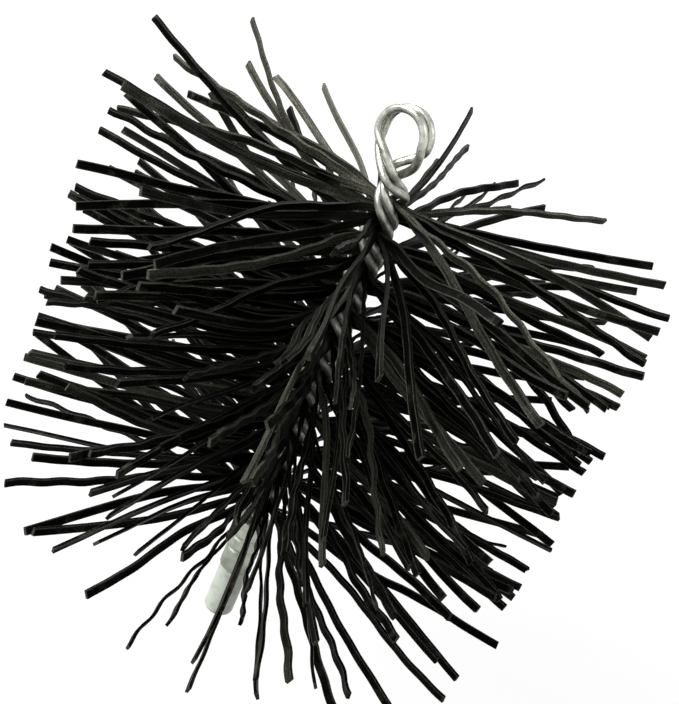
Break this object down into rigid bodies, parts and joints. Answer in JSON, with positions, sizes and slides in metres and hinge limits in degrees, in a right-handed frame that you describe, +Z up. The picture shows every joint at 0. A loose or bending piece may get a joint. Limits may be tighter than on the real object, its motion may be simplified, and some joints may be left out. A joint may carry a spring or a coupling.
{
  "type": "chimney sweep brush",
  "caption": "Round chimney sweep brush with stiff crimped plastic bristles in a twisted wire stem, a pull ring and a capped threaded ferrule.",
  "frame": {"origin": "middle of the thread cap's flat end, at the bottom of the stem's axis", "axes": "+Z up the stem towards the pull ring; +X and -X across the pull ring's eye; +Y and -Y through the eye"},
  "size_m": [0.2024, 0.2024, 0.2163],
  "materials": {
    "galvanised_wire": "dull galvanised",
    "zinc_plated_steel": "dull zinc plate, lightly rusted at the swage",
    "milky_cap_plastic": "satin, slightly see-through",
    "black_bristle_plastic": "satin black"
  },
  "bodies": {
    "brush": {"pull_ring_wire_front": "galvanised_wire", "pull_ring_wire_back": "galvanised_wire", "threaded_ferrule": "zinc_plated_steel", "bristle_row_01": "black_bristle_plastic", "bristle_row_02": "black_bristle_plastic", "bristle_row_03": "black_bristle_plastic", "bristle_row_04": "black_bristle_plastic", "bristle_row_05": "black_bristle_plastic", "bristle_row_06": "black_bristle_plastic", "bristle_row_07": "black_bristle_plastic", "bristle_row_08": "black_bristle_plastic", "bristle_row_09": "black_bristle_plastic", "bristle_row_10": "black_bristle_plastic", "bristle_row_11": "black_bristle_plastic", "bristle_row_12": "black_bristle_plastic", "bristle_row_13": "black_bristle_plastic", "bristle_row_14": "black_bristle_plastic", "bristle_row_15": "black_bristle_plastic", "bristle_row_16": "black_bristle_plastic", "bristle_row_17": "black_bristle_plastic", "bristle_row_18": "black_bristle_plastic", "bristle_row_19": "black_bristle_plastic", "bristle_row_20": "black_bristle_plastic", "bristle_row_21": "black_bristle_plastic", "bristle_row_22": "black_bristle_plastic", "bristle_row_23": "black_bristle_plastic", "bristle_row_24": "black_bristle_plastic", "bristle_row_25": "black_bristle_plastic", "bristle_row_26": "black_bristle_plastic", "bristle_row_27": "black_bristle_plastic", "bristle_row_28": "black_bristle_plastic", "bristle_row_29": "black_bristle_plastic", "bristle_row_30": "black_bristle_plastic", "bristle_row_31": "black_bristle_plastic", "bristle_row_32": "black_bristle_plastic", "bristle_row_33": "black_bristle_plastic", "bristle_row_34": "black_bristle_plastic", "bristle_row_35": "black_bristle_plastic", "bristle_row_36": "black_bristle_plastic", "bristle_row_37": "black_bristle_plastic", "bristle_row_38": "black_bristle_plastic", "bristle_row_39": "black_bristle_plastic", "bristle_row_40": "black_bristle_plastic", "bristle_row_41": "black_bristle_plastic", "bristle_row_42": "black_bristle_plastic"},
    "cap": {"thread_cap": "milky_cap_plastic"}
  },
  "joints": [
    {"name": "cap_pull", "type": "slide", "parent": "brush", "child": "cap", "axis": [0, 0, -1], "range_m": [0, 0.0208]}
  ]
}
